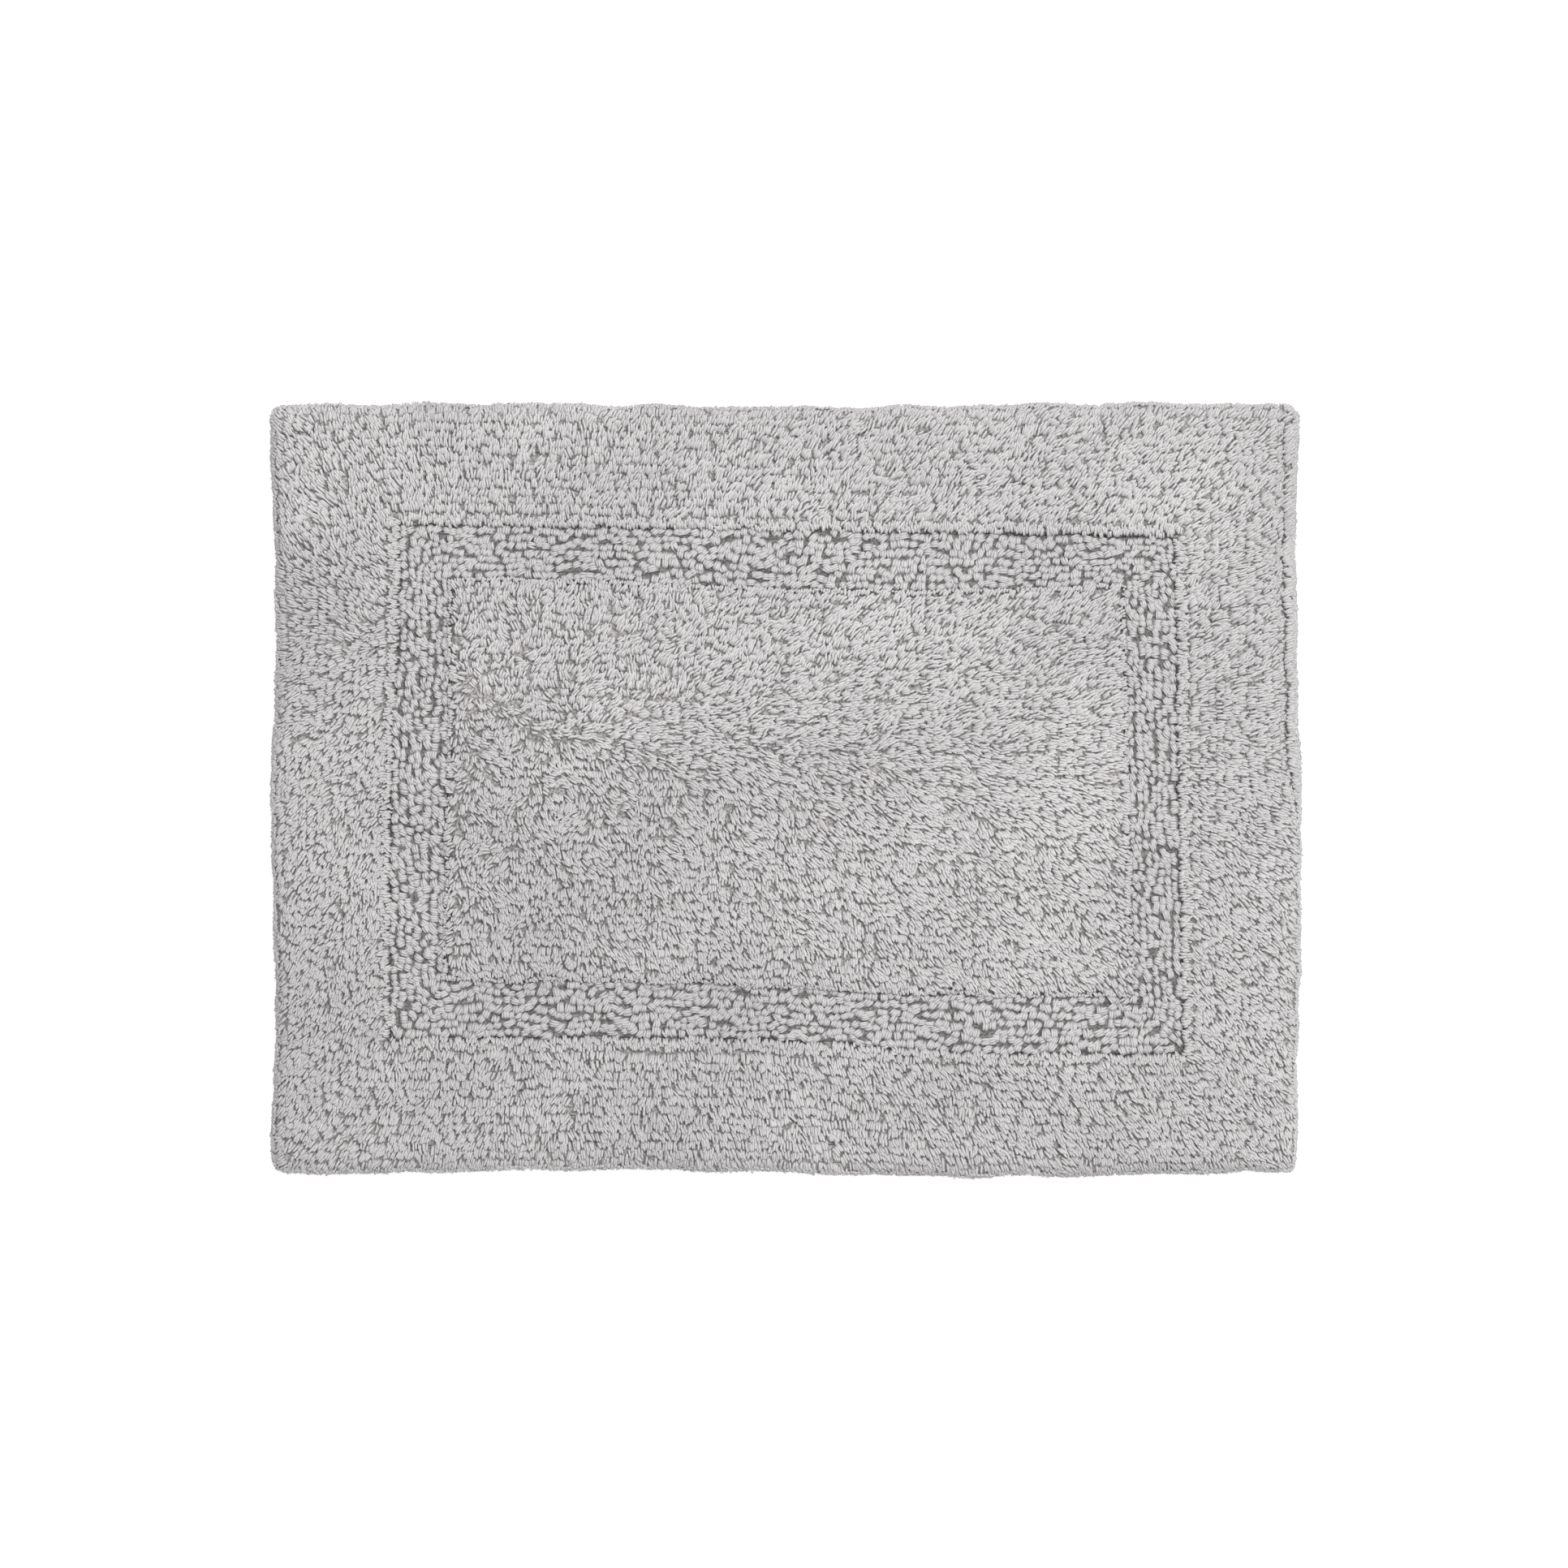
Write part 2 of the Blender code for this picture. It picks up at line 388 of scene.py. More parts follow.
# ---------------------------------------------------------------------------------------------
# Border of cut pile, on both sides of the cloth. Soft cotton yarn is tufted through the canvas
# in rows round the mat and its loops are sheared open, so each tuft is a handful of yarn ends
# that lean the way the mat was last brushed and lie over the next tufts like thatch.
# ---------------------------------------------------------------------------------------------
SIDES = {"face": 1, "reverse": -1}
CORNER_RADIUS = 8 * MM
EDGE_ROUNDING = {"face": 10.8 * MM, "reverse": 8.6 * MM}
EDGE_OVERLAP = 0.8 * MM
FRAME_EDGE_ROUNDING = 3.0 * MM
SURFACE_DROP = 0.4 * MM
SWELL = 0.45 * MM
SWELL_LENGTH = 70 * MM
RIPPLE = 0.3 * MM
RIPPLE_LENGTH = 22 * MM
LOW_STRIP = 8.0 * MM
LOW_STRIP_HEIGHT = 4.0 * MM
LOW_STRIP_FOOT = -30 * MM
LOW_STRIP_TAPER = 45 * MM
WORN_TUFTS = 240
YARN_RADIUS = {"face": 0.86 * MM, "reverse": 0.98 * MM}
YARN_SPACING = {"face": 1.15 * MM, "reverse": 1.40 * MM}
YARNS_IN_A_TUFT = {"face": 5, "reverse": 4}
TUFT_SPACING = {"face": 3.8 * MM, "reverse": 9.5 * MM}
TUFT_JITTER = 0.6 * MM
EDGE_ROW_INSET = 0.9 * MM
FRAME_ROW_INSET = 0.5 * MM
YARN_REACH = 7.6 * MM
YARN_PLACES = np.array([0, 0.45, 0.84])
YARN_GIRTHS = np.array([0.85, 1.0, 0.90])
# Painted shade along a yarn at each of its rings: full at the root, a quarter part way along, none
# towards the tip.
YARN_SHADE_DEPTHS = np.array([1, 0.25, 0])
MISSING_YARNS = 0.07
ROOT_DEPTH = 5.5 * MM
SHOULDER_RISE = 1.3 * MM
TIP_DROP = 0.8 * MM
BED_DEPTH = 3.3 * MM
BED_EDGE_SLOPE = 4 * MM
BED_EDGE_DROP = 2.4 * MM
BED_STEPS = (90, 68)
BED_GAP = 0.2 * MM
BED_CORNER_INSET = 1 * MM
BED_LEAST_DEPTH = 0.4 * MM
NAP_CENTRE_X = -178 * MM
NAP_CENTRE_Y = 25 * MM
NAP_CENTRE_WIDTH = 70 * MM
NAP_LEFT_X = -150 * MM
NAP_LEFT_TAPER = 60 * MM
NAP_LEFT_RISE = 60 * MM
NAP_LOW_Y = -120 * MM
NAP_LOW_TAPER = 80 * MM
NAP_LOW_SHIFT = 60 * MM
NAP_FAN_LENGTH = 438 * MM
NAP_FAN_LENGTH_UP_LEFT = 250 * MM
NAP_FAN_LENGTH_DOWN_LEFT = 140 * MM
NAP_FAN_WIDTH = 110 * MM
SWIRL_LENGTH = 45 * MM
RUFFLE_LENGTH = 80 * MM
LOOSE_NAP_X = -90 * MM
LOOSE_NAP_WIDTH = 160 * MM
LOOSEST_NAP_WIDTH = 55 * MM
SQUARE_NAP_WIDTH = 7 * MM
LOOSE_FRAME_WIDTH = 4 * MM
# Cut pile colours. The root colour is painted shade, not the yarn's own colour: it darkens each yarn
# towards its root, and the bed under the surface, where shade falls between the yarns. The groove
# value is painted shade along the yarns' sides.
CUT_PILE_ROOT_SHADE = (0.28, 0.269, 0.266, 1)
CUT_PILE_TIP = (0.502, 0.488, 0.489, 1)
CUT_PILE_GROOVE_SHADE = 0.22
TONE_STRENGTH = 0.03

cloth_level = {"face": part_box("face_border_pile_3")[0].z,
               "reverse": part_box("reverse_border_pile_3")[1].z}
full_height = {"face": frame_high.z - cloth_level["face"],
               "reverse": cloth_level["reverse"] - frame_low.z}


def inset_at(x, y):
    """Distance of a point from the mat's outline, which is a rectangle with round corners."""
    out_x = np.abs(x) - (half_length - CORNER_RADIUS)
    out_y = np.abs(y) - (half_width - CORNER_RADIUS)
    outside = np.hypot(np.clip(out_x, 0, None), np.clip(out_y, 0, None))
    return CORNER_RADIUS - outside - np.minimum(np.maximum(out_x, out_y), 0)


def from_frame(x, y):
    """How far a point lies from the loop frame's edge, and the way that leads over that edge,
    away from the mat's middle. The distance is measured from the frame's outer edge in the
    border and from its inner edge in the centre field."""
    over_x = np.abs(x) - frame_corner.x
    over_y = np.abs(y) - frame_corner.y
    in_border = np.maximum(over_x, over_y) > -0.5 * (frame_corner.x - field_corner.x)
    left_x = field_corner.x - np.abs(x)
    left_y = field_corner.y - np.abs(y)
    distance = np.where(in_border, np.hypot(np.clip(over_x, 0, None), np.clip(over_y, 0, None)),
                        np.clip(np.minimum(left_x, left_y), 0, None))
    away_x = np.where(in_border, over_x > over_y, left_x < left_y)
    return distance, away_x * np.sign(x), ~away_x * np.sign(y)


def low_strip_at(y):
    """Width of the strip along the right-hand edge where the face pile is worn low. The strip
    runs from the upper corner to a little below the middle, where it narrows away."""
    return LOW_STRIP * np.clip((y - LOW_STRIP_FOOT) / LOW_STRIP_TAPER, 0, 1)


def rounded_off(inset, rounding):
    """Drop of the pile's surface near an edge, where it rounds off over a quarter circle."""
    curl = np.clip(rounding - inset, 0, rounding)
    return rounding - np.sqrt(rounding ** 2 - curl ** 2)


def pile_surface(x, y, side):
    """Height of the cut pile over the cloth. It is sheared level, swells and sinks slowly by
    less than a millimetre, and rounds off at the mat's edge and at the loop frame."""
    rounding = EDGE_ROUNDING[side]
    near_frame = np.clip(FRAME_EDGE_ROUNDING - from_frame(x, y)[0], 0, None)
    frame_drop = near_frame ** 2 / FRAME_EDGE_ROUNDING * 0.5
    swell = SWELL * waves(x, y, SWELL_LENGTH, 11) + RIPPLE * waves(x, y, RIPPLE_LENGTH, 12)
    full = full_height[side] - SURFACE_DROP - frame_drop + swell
    if side == "reverse":
        return full - rounded_off(inset_at(x, y), rounding)
    strip = low_strip_at(y) * (x > 0)
    main = full - rounded_off(inset_at(x + strip, y), rounding)
    main = np.where(x + strip > half_length, 0, main)
    low = LOW_STRIP_HEIGHT - rounded_off(inset_at(x, y), LOW_STRIP_HEIGHT - 1 * MM)
    return np.maximum(main, low)


def lean_at(x, y, random):
    """Which way the yarn ends lean. The nap fans out from a point left of the middle: the angle
    is that of a line through fan length times the spread, which goes from -1 to 1 with the rise
    over that point. It is steeper below the point, wanders in slow swirls, is loosest near the
    point, and turns square to the loop frame and to the mat's edge where it is close to them."""
    beyond_left = np.clip((NAP_LEFT_X - x) / NAP_LEFT_TAPER, 0, 1)
    far_down = np.clip((NAP_LOW_Y - y) / NAP_LOW_TAPER, 0, 1)
    rise = y - NAP_CENTRE_Y - NAP_LEFT_RISE * beyond_left
    spread = np.where(rise > 0, 1.0, 1.5) * rise / np.hypot(rise, NAP_FAN_WIDTH)
    from_centre = x - NAP_CENTRE_X - NAP_LOW_SHIFT * far_down
    left_length = np.where(rise > 0, NAP_FAN_LENGTH_UP_LEFT, NAP_FAN_LENGTH_DOWN_LEFT)
    fan_length = np.where(from_centre > 0, NAP_FAN_LENGTH, left_length)
    angle = np.arctan2(spread * fan_length, from_centre)
    loose = np.exp(-((x - LOOSE_NAP_X) ** 2 + y ** 2) / LOOSE_NAP_WIDTH ** 2)
    past_centre = (x - NAP_CENTRE_X) ** 2 + (y - NAP_CENTRE_Y) ** 2
    loosest = np.exp(-past_centre / LOOSEST_NAP_WIDTH ** 2)
    angle = angle + (0.17 + 0.25 * loose + 0.9 * loosest) * waves(x, y, SWIRL_LENGTH, 21)
    angle = angle + (0.11 + 0.14 * loose) * random.normal(size=x.shape)
    lean_x, lean_y = np.cos(angle), np.sin(angle)
    distance, away_x, away_y = from_frame(x, y)
    square = np.clip(1.1 - distance / SQUARE_NAP_WIDTH, 0, 1)
    out_x = np.clip(np.abs(x) - (half_length - CORNER_RADIUS), 0, None)
    out_y = np.clip(np.abs(y) - (half_width - CORNER_RADIUS), 0, None)
    size = np.hypot(out_x, out_y) + 1e-9
    outward = np.clip(1.1 - inset_at(x, y) / SQUARE_NAP_WIDTH, 0, 1)
    lean_x = lean_x * (1 - square) + away_x * square + 2 * outward * np.sign(x) * out_x / size
    lean_y = lean_y * (1 - square) + away_y * square + 2 * outward * np.sign(y) * out_y / size
    return np.arctan2(lean_y, lean_x) + random.normal(0, 0.08, x.shape)


def held_inside(x, y, half_x, half_y, corner, spill):
    """Brings points that lie beyond a rectangle with round corners back to its edge, or past it
    by spill. Each point is measured from the nearest point of the rectangle's core."""
    core_x = np.clip(x, corner - half_x, half_x - corner)
    core_y = np.clip(y, corner - half_y, half_y - corner)
    past = np.hypot(x - core_x, y - core_y)
    share = np.minimum(1, (corner + spill) / np.maximum(past, 1e-6))
    return core_x + (x - core_x) * share, core_y + (y - core_y) * share


def fanned_out(x, y, side, random):
    """Each yarn end's lean, its place across its tuft and its length, for tufts at x, y, and the
    ends' ranks from the middle of a tuft. The ends of a tuft lie side by side, and the middle
    ones are the longest. Tufts are shorter and less even at the loop frame, and a little
    shorter where the nap fans out from."""
    count = YARNS_IN_A_TUFT[side]
    shape = (len(x), count)
    at_frame = np.clip(1.2 - from_frame(x, y)[0] / LOOSE_FRAME_WIDTH, 0, 1)[:, None]
    lean = lean_at(x, y, random)[:, None] + random.normal(0, 0.08, shape)
    lean = lean + at_frame * random.normal(0, 0.22, (len(x), 1))
    rank = np.arange(count) - (count - 1) / 2
    across = rank * YARN_SPACING[side] + random.normal(0, 0.18 * MM, shape)
    from_nap = np.hypot(x - NAP_CENTRE_X, y - NAP_CENTRE_Y)[:, None]
    near_nap = np.exp(-(from_nap / NAP_CENTRE_WIDTH) ** 2)
    reach = YARN_REACH * (1 - 0.15 * near_nap) * (1 - 0.035 * rank ** 2)
    reach = reach * random.uniform(0.86, 1.12, (len(x), 1)) * random.uniform(0.84, 1.1, shape)
    return lean, across, reach * (1 - 0.4 * at_frame), rank


def yarn_ends(x, y, side, plot, random):
    """The yarn ends of tufts rooted at x, y. Each is a three-sided prism, flat side up, carried
    along a curve that rises from the root, bends over and runs with the nap to its tip at the
    pile's surface. The middle ends of a tuft lie highest. Plot is the half length, half width
    and corner radius of the area that the tips stay over."""
    lean, across, reach, rank = fanned_out(x, y, side, random)
    shape = lean.shape
    forward_x, forward_y = np.cos(lean), np.sin(lean)
    half_x, half_y, corner = plot
    # Beside the worn strip the full pile ends where the strip starts, not at the mat's edge, so
    # it is moved out by the strip's width while it is held inside the outline.
    beside_strip = (side == "face") & (half_x > frame_corner.x) & (x > 0)
    beside_strip = beside_strip & (x <= half_x - low_strip_at(y))
    strip = np.where(beside_strip, low_strip_at(y), 0)[:, None]
    behind = random.normal(0, 0.7 * MM, shape)
    root_x = x[:, None] - 0.9 * across * forward_y + behind * forward_x
    root_y = y[:, None] + 0.9 * across * forward_x + behind * forward_y
    root_x, root_y = held_inside(root_x + strip, root_y, half_x, half_y, corner, -0.4 * MM)
    spill = random.normal(0, 0.6 * MM, shape)
    tip_x = root_x + reach * forward_x + 0.18 * across * forward_y
    tip_y = root_y + reach * forward_y - 0.18 * across * forward_x
    tip_x, tip_y = held_inside(tip_x, tip_y, half_x, half_y, corner, spill)
    root_x, tip_x = root_x - strip, tip_x - strip
    ruffled = 1 + 0.55 * waves(x, y, RUFFLE_LENGTH, 41)[:, None]
    sunk = 0.09 * rank ** 2 * MM + random.normal(0, 0.13 * MM, shape)
    sunk = sunk * ruffled + random.normal(0, 0.24 * MM, (len(x), 1)) * ruffled
    bend = random.normal(0, 0.16, (len(x), 1)) + random.normal(0, 0.08, shape)
    shoulder_x = root_x + 0.2 * (tip_x - root_x) - bend * (tip_y - root_y)
    shoulder_y = root_y + 0.2 * (tip_y - root_y) + bend * (tip_x - root_x)
    shoulder_z = pile_surface(shoulder_x, shoulder_y, side) - sunk
    lowest = np.where(inset_at(tip_x, tip_y) < 2 * MM, -EDGE_OVERLAP, 0.6 * MM)
    tip_z = np.maximum(pile_surface(tip_x, tip_y, side) - sunk - TIP_DROP, lowest)
    root_z = np.clip(shoulder_z - ROOT_DEPTH, 0.2 * MM, None)
    keep = random.uniform(size=shape) > MISSING_YARNS
    root = np.stack([root_x, root_y, root_z], -1)[keep]
    shoulder = np.stack([shoulder_x, shoulder_y, shoulder_z + SHOULDER_RISE], -1)[keep]
    tip = np.stack([tip_x, tip_y, tip_z], -1)[keep]
    tone = (random.normal(0, 0.6, (len(x), 1)) + random.normal(0, 0.8, shape))[keep]
    radius = YARN_RADIUS[side] * random.uniform(0.85, 1.1, len(root))
    # Painted shade at the root is weaker where the pile is low, as at the rounded edge and in the
    # worn strip.
    shade = np.clip((shoulder_z - root_z) / ROOT_DEPTH, 0.25, 1)[keep]
    return bent_prisms(root, shoulder, tip, radius, tone, shade)


def bed_top(x, y, side):
    """Height of the dense mass of yarn under the surface, which slopes down to the loop frame."""
    slope = np.clip(1 - from_frame(x, y)[0] / BED_EDGE_SLOPE, 0, 1)
    rough = np.random.default_rng(7).normal(0, 0.3 * MM, x.shape)
    return pile_surface(x, y, side) - BED_DEPTH - BED_EDGE_DROP * slope + rough


def bent_prisms(root, shoulder, tip, radius, tone, shade):
    """Three-sided prisms along quadratic curves from root to tip, pulled towards shoulder. A place on
    the curve is (1-t)^2 root + 2t(1-t) shoulder + t^2 tip. Depth, the amount of painted shade, is
    shade at the root, which is 1 on a yarn of full height, and falls to 0 at the tip."""
    t = YARN_PLACES[None, :, None]
    girth = YARN_GIRTHS[None, :, None, None]
    centre = ((1 - t) ** 2 * root[:, None] + 2 * t * (1 - t) * shoulder[:, None]
              + t ** 2 * tip[:, None])
    forward = 2 * (1 - t) * (shoulder - root)[:, None] + 2 * t * (tip - shoulder)[:, None]
    forward = forward / (np.linalg.norm(forward, axis=-1, keepdims=True) + 1e-12)
    sideways = np.stack([-forward[..., 1], forward[..., 0], 0 * forward[..., 0]], -1)
    sideways = sideways / (np.linalg.norm(sideways, axis=-1, keepdims=True) + 1e-9)
    upward = np.cross(forward, sideways)
    turn = np.radians([30, 150, 270])
    out_x, out_z = np.cos(turn)[:, None], np.sin(turn)[:, None]
    ring = out_x * sideways[:, :, None] + out_z * upward[:, :, None]
    rings = centre[:, :, None] + girth * radius[:, None, None, None] * ring
    return prism_shape(rings, tip, shade[:, None] * YARN_SHADE_DEPTHS, tone)


def prism_shape(rings, tip, depth, tone):
    """Numbers the faces of many like prisms: each has a row of three-cornered rings, one depth of
    painted shade for each ring, and a tip. The sides are quads, the near end is a triangle, and the
    far end closes in a cone of three triangles at the tip, which has the last ring's depth."""
    count, steps = rings.shape[:2]
    ring = np.arange(steps - 1)[:, None] * 3
    side = np.arange(3)
    after = (side + 1) % 3
    quads = np.stack([ring + side, ring + after, ring + 3 + after, ring + 3 + side], -1)
    quads = quads.reshape(1, -1, 4)
    last = 3 * steps - 3
    cone = np.stack([last + side, last + after, np.full(3, last + 3)], -1)
    ends = np.concatenate([[[2, 1, 0]], cone])[None]
    size = 3 * steps + 1
    first = (np.arange(count) * size)[:, None, None]
    points = np.concatenate([rings.reshape(count, -1, 3), tip[:, None]], 1)
    depths = np.concatenate([np.repeat(depth, 3, 1), depth[:, -1:]], 1)
    across = np.append(np.tile([1, -1, 0], steps), 0)
    return (points.reshape(-1, 3), (quads + first).reshape(-1, 4), (ends + first).reshape(-1, 3),
            depths.ravel(), np.repeat(tone, size), np.tile(across, count))


def bed_shape(x, y, top, bottom, ring):
    """The dense mass of yarn under the pile's surface. x, y, top and bottom are grids along and
    across the bed; its section is the top line and back along the bottom line. A ring closes on
    itself, and a straight bed has end faces."""
    length, width = x.shape
    upper = np.stack([x, y, top], -1)
    lower = np.stack([x, y, bottom], -1)[:, ::-1]
    section = np.concatenate([upper, lower], 1)
    around = 2 * width
    here = np.arange(length if ring else length - 1)[:, None] * around
    there = (here + around) % (length * around)
    side = np.arange(around)[None, :]
    after = (side + 1) % around
    quads = np.stack([here + side, there + side, there + after, here + after], -1).reshape(-1, 4)
    if not ring:
        left = np.arange(width - 1)
        right = around - 1 - left
        end = np.stack([left, left + 1, right - 1, right], -1)
        quads = np.concatenate([quads, end, end[:, ::-1] + (length - 1) * around])
    points = section.reshape(-1, 3)
    blank = np.zeros(len(points))
    # Every point of the bed gets full depth, so the whole bed is coloured in the root's painted
    # shade, for the shade in the gaps between the yarns.
    return points, quads, np.zeros((0, 3), int), blank + 1, blank, blank


def pile_mesh(name, shapes, side, level):
    """One mesh from several shapes whose heights are measured from the cloth. On the reverse the
    heights run downwards, which turns the faces, so their corners run the other way, and the pile is
    pressed flat where it would pass the frame's lowest level. Each point keeps how much painted shade
    it gets for its depth in the pile, its yarn's tone and its place across the yarn, which sets the
    painted shade in the grooves at the yarn's sides."""
    first = np.cumsum([0] + [len(shape[0]) for shape in shapes])
    points = np.concatenate([shape[0] for shape in shapes])
    quads = np.concatenate([shape[1] + start for shape, start in zip(shapes, first)])
    triangles = np.concatenate([shape[2] + start for shape, start in zip(shapes, first)])
    x, y = as_it_lies(points[:, 0], points[:, 1])
    z = np.maximum(level + SIDES[side] * points[:, 2], frame_low.z)
    points = np.stack([x, y, z], -1)
    if side == "reverse":
        quads, triangles = quads[:, ::-1], triangles[:, ::-1]
    mesh = mesh_of(name, points, quads, triangles)
    for attribute, column in (("painted_shade_depth", 3), ("yarn_tone", 4), ("across_yarn", 5)):
        values = np.concatenate([shape[column] for shape in shapes]).astype(np.float32)
        mesh.attributes.new(attribute, "FLOAT", "POINT").data.foreach_set("value", values)
    return mesh


def scaled_colour(tree, colour, scale):
    """A colour made darker or lighter by a scale."""
    step = tree.nodes.new("ShaderNodeVectorMath")
    step.operation = "SCALE"
    feed(tree, step.inputs[0], colour)
    feed(tree, step.inputs["Scale"], scale)
    return step.outputs["Vector"]


def kept_value(tree, attribute):
    """A value that every point of the pile keeps under the given name."""
    reader = tree.nodes.new("ShaderNodeAttribute")
    reader.attribute_name = attribute
    return reader.outputs["Fac"]


def yarn_group():
    """Node group for cotton yarn. Its colour goes from the tip's to a painted root shade with the
    depth in the pile, and that painted shade is made uneven by a fine noise. Then it gets lighter or
    darker with a slow noise over the mat and with the yarn's tone, and darker by painted shade in the
    groove towards the yarn's sides. Its height is a noise as fine as the fibres."""
    tree = bpy.data.node_groups.new("cotton_yarn", "ShaderNodeTree")
    for name in ("Root Shade", "Tip"):
        tree.interface.new_socket(name, in_out="INPUT", socket_type="NodeSocketColor")
    for name in ("Tone Strength", "Groove Shade", "Fibre Scale"):
        tree.interface.new_socket(name, in_out="INPUT", socket_type="NodeSocketFloat")
    tree.interface.new_socket("Colour", in_out="OUTPUT", socket_type="NodeSocketColor")
    tree.interface.new_socket("Fibres", in_out="OUTPUT", socket_type="NodeSocketFloat")
    given = tree.nodes.new("NodeGroupInput").outputs
    made = tree.nodes.new("NodeGroupOutput").inputs
    on_mat = tree.nodes.new("ShaderNodeTexCoord").outputs["Object"]
    # Painted shade at the roots: the root colour made uneven by a fine noise, then mixed in with the
    # depth in the pile.
    uneven_root_shade = tree.nodes.new("ShaderNodeMapRange")
    feed(tree, uneven_root_shade.inputs["Value"], noise_over(tree, on_mat, 750, 1))
    feed(tree, uneven_root_shade.inputs["From Min"], 0.35)
    feed(tree, uneven_root_shade.inputs["From Max"], 0.65)
    feed(tree, uneven_root_shade.inputs["To Min"], 0.45)
    feed(tree, uneven_root_shade.inputs["To Max"], 1.35)
    root = scaled_colour(tree, given["Root Shade"], uneven_root_shade.outputs["Result"])
    colour = mixed(tree, kept_value(tree, "painted_shade_depth"), given["Tip"], root)
    washed = worked_out(tree, "MULTIPLY_ADD", noise_over(tree, on_mat, 9, 4), 0.34, 0.83)
    tone = kept_value(tree, "yarn_tone")
    toned = worked_out(tree, "MULTIPLY_ADD", tone, given["Tone Strength"], washed)
    # Painted shade in the grooves: the colour gets darker towards the yarn's sides, by across
    # squared.
    across = kept_value(tree, "across_yarn")
    groove_shade_mask = worked_out(tree, "MULTIPLY", across, across)
    groove_shaded = worked_out(tree, "MULTIPLY_ADD", groove_shade_mask, given["Groove Shade"], toned)
    feed(tree, made["Colour"], scaled_colour(tree, colour, groove_shaded))
    feed(tree, made["Fibres"], noise_over(tree, on_mat, given["Fibre Scale"], 2))
    return tree


def yarn_finish(name, root, tip, groove):
    """Matte cotton yarn made with the yarn group, with the soft sheen of loose fibres."""
    material, shader = new_material(name, 0.95)
    tree = material.node_tree
    yarn = tree.nodes.new("ShaderNodeGroup")
    yarn.node_tree = cotton_yarn
    # The root colour is painted shade for the depth in the pile, and the groove value darkens the
    # yarn's sides as painted shade.
    feed(tree, yarn.inputs["Root Shade"], root)
    feed(tree, yarn.inputs["Tip"], tip)
    feed(tree, yarn.inputs["Tone Strength"], TONE_STRENGTH)
    feed(tree, yarn.inputs["Groove Shade"], -groove)
    feed(tree, yarn.inputs["Fibre Scale"], 1800)
    feed(tree, shader.inputs["Base Color"], yarn.outputs["Colour"])
    add_bump(tree, shader, yarn.outputs["Fibres"], 0.35, 0.15 * MM)
    feed(tree, shader.inputs["Sheen Weight"], 0.15)
    feed(tree, shader.inputs["Sheen Roughness"], 0.6)
    return material


def inset_of(node):
    """How far a node's outer edge lies in from the mat's edge."""
    return frame_high.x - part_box(node)[1].x


def along_rows(insets, spacing, random):
    """Tuft places along rows round the mat, one row at each inset, with the row's direction at
    each place. The places on a side are even apart from a small shift."""
    found = []
    for inset in insets:
        reach_x, reach_y = half_length - inset, half_width - inset
        for quarter in range(4):
            reach, far = (reach_x, reach_y) if quarter % 2 == 0 else (reach_y, reach_x)
            count = max(round(2 * reach / spacing), 1)
            shift = random.uniform(0, 1) + random.uniform(-0.28, 0.28, count)
            along = reach * (1 - 2 * ((np.arange(count) + shift) % count) / count)
            turn = quarter * np.pi / 2
            x = along * np.cos(turn) - far * np.sin(turn)
            y = along * np.sin(turn) + far * np.cos(turn)
            found.append(np.stack([x, y, np.full(count, turn)]))
    return np.concatenate(found, 1)


cotton_yarn = yarn_group()
cut_pile_finish = yarn_finish("cotton_cut_pile_yarn", CUT_PILE_ROOT_SHADE, CUT_PILE_TIP, CUT_PILE_GROOVE_SHADE)
border_bands = [f"border_pile_{band}" for band in range(1, 6)]
border_edges = [inset_of(f"face_{band}") for band in border_bands] + [inset_of("face_loop_row_1")]

for side in SIDES:
    for band, node in enumerate(border_bands):
        random = np.random.default_rng(100 + band + 10 * SIDES[side])
        outer, inner = border_edges[band], border_edges[band + 1]
        rows = outer + (inner - outer) * np.array([1, 3, 5]) / 6
        if band == 0:
            rows = np.append(rows, EDGE_ROW_INSET)
        if band == len(border_bands) - 1:
            rows = np.append(rows, inner - FRAME_ROW_INSET)
        x, y, _ = along_rows(rows, TUFT_SPACING[side], random)
        x = x + random.normal(0, TUFT_JITTER, len(x))
        y = y + random.normal(0, TUFT_JITTER, len(y))
        if side == "face" and band == 0:
            strip_y = random.uniform(LOW_STRIP_FOOT + 8 * MM, half_width - 3 * MM, WORN_TUFTS)
            strip_x = half_length - random.uniform(0.1, 1, WORN_TUFTS) * low_strip_at(strip_y)
            x = np.append(x, strip_x)
            y = np.append(y, strip_y)
        ends = yarn_ends(x, y, side, (half_length, half_width, CORNER_RADIUS), random)
        insets = np.linspace(outer + BED_GAP, inner - BED_GAP, 6)
        bed_x, bed_y = round_the_mat(insets, BED_STEPS)
        bed_x, bed_y = held_inside(bed_x, bed_y, half_length, half_width, CORNER_RADIUS,
                                   -BED_CORNER_INSET)
        low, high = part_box(f"{side}_{node}")
        near_cloth = abs((low.z if side == "face" else high.z) - cloth_level[side])
        bottom = np.full_like(bed_x, near_cloth)
        top = np.maximum(bed_top(bed_x, bed_y, side), bottom + BED_LEAST_DEPTH)
        bed = bed_shape(bed_x, bed_y, top, bottom, ring=True)
        mesh = pile_mesh(f"{side}_{node}", [ends, bed], side, cloth_level[side])
        place(f"{side}_border_tufts_{band + 1}", mesh, cut_pile_finish, f"{side}_{node}")

